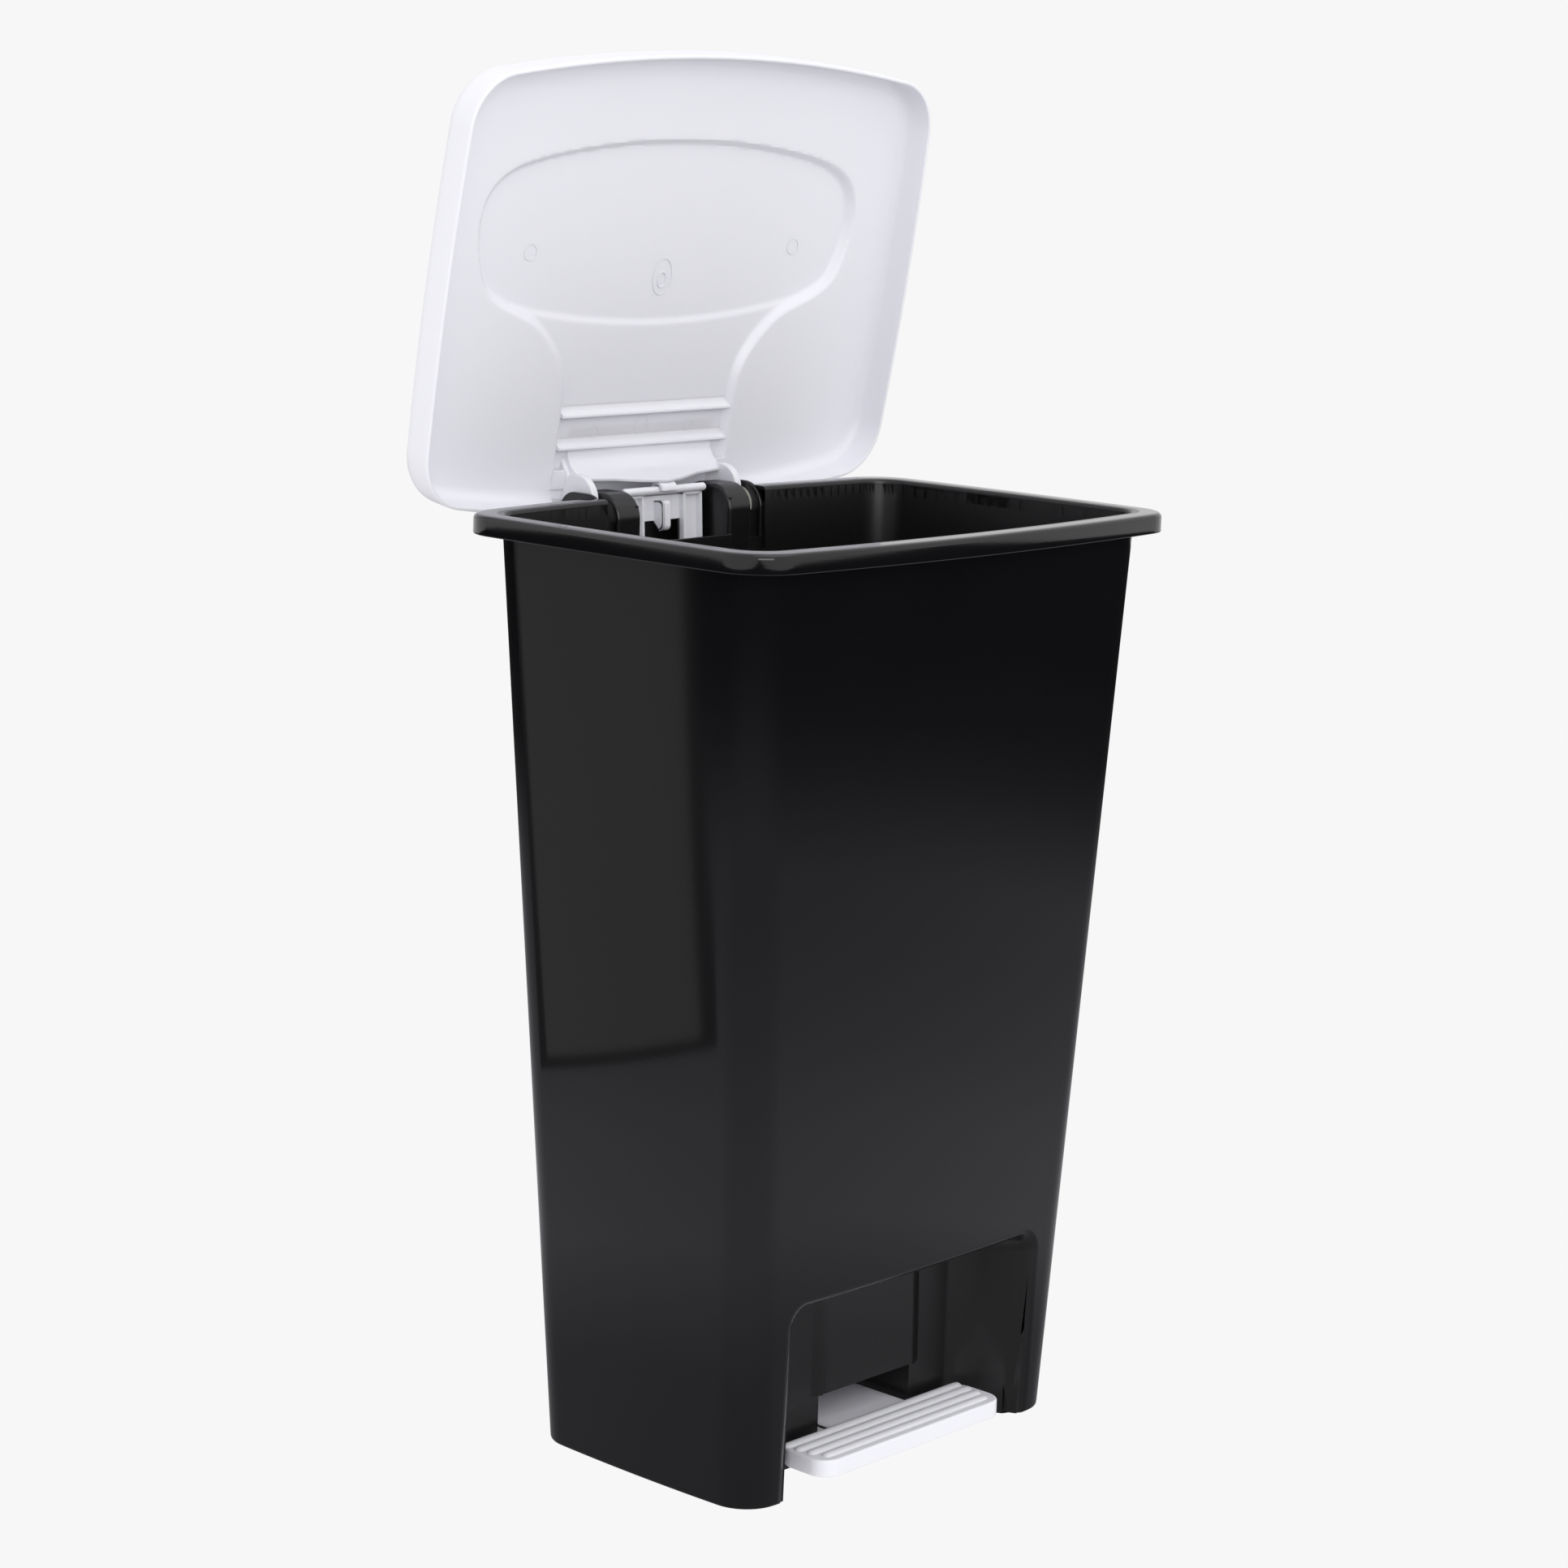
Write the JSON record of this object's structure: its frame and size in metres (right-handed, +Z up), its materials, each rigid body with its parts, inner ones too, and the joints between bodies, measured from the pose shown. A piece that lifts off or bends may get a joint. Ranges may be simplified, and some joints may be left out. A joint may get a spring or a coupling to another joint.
{
  "type": "pedal bin",
  "caption": "Tall rectangular household bin with a hinged lid that a foot pedal lifts through a rod at the back.",
  "frame": {"origin": "on the floor, under the middle of the body", "axes": "+Z up; the pedal and the front face are towards -Y; +X is to the right as the hinge is seen from the pedal"},
  "size_m": [0.427, 0.316, 0.8854],
  "materials": {
    "black_plastic": "glossy moulded",
    "white_plastic": "semi-gloss moulded",
    "pin_plastic": "satin moulded",
    "steel": "zinc plated"
  },
  "bodies": {
    "base": {"bin_body": "black_plastic", "hinge_pin_left": "pin_plastic", "hinge_pin_right": "pin_plastic", "pedal_axle": "steel", "axle_cap_left": "steel", "axle_cap_right": "steel"},
    "lid": {"lid": "white_plastic"},
    "pedal": {"pedal": "white_plastic"},
    "rod": {"lift_rod": "white_plastic", "rod_pin": "steel"}
  },
  "joints": [
    {"name": "lid_hinge", "type": "hinge", "parent": "base", "child": "lid", "pos_m": [0, 0.143, 0.5865], "axis": [1, 0, 0], "range_deg": [0, 80]},
    {"name": "pedal_pivot", "type": "hinge", "parent": "base", "child": "pedal", "pos_m": [0, 0.05, 0.013], "axis": [1, 0, 0], "range_deg": [-10.32, 0]},
    {"name": "rod_foot", "type": "hinge", "parent": "pedal", "child": "rod", "pos_m": [0, 0.112, 0.024], "axis": [1, 0, 0], "range_deg": [0, 11.78]}
  ],
  "couplings": [
    {"joint": "pedal_pivot", "follows": "lid_hinge", "ratio": -0.12893},
    {"joint": "rod_foot", "follows": "lid_hinge", "ratio": 0.14716}
  ]
}
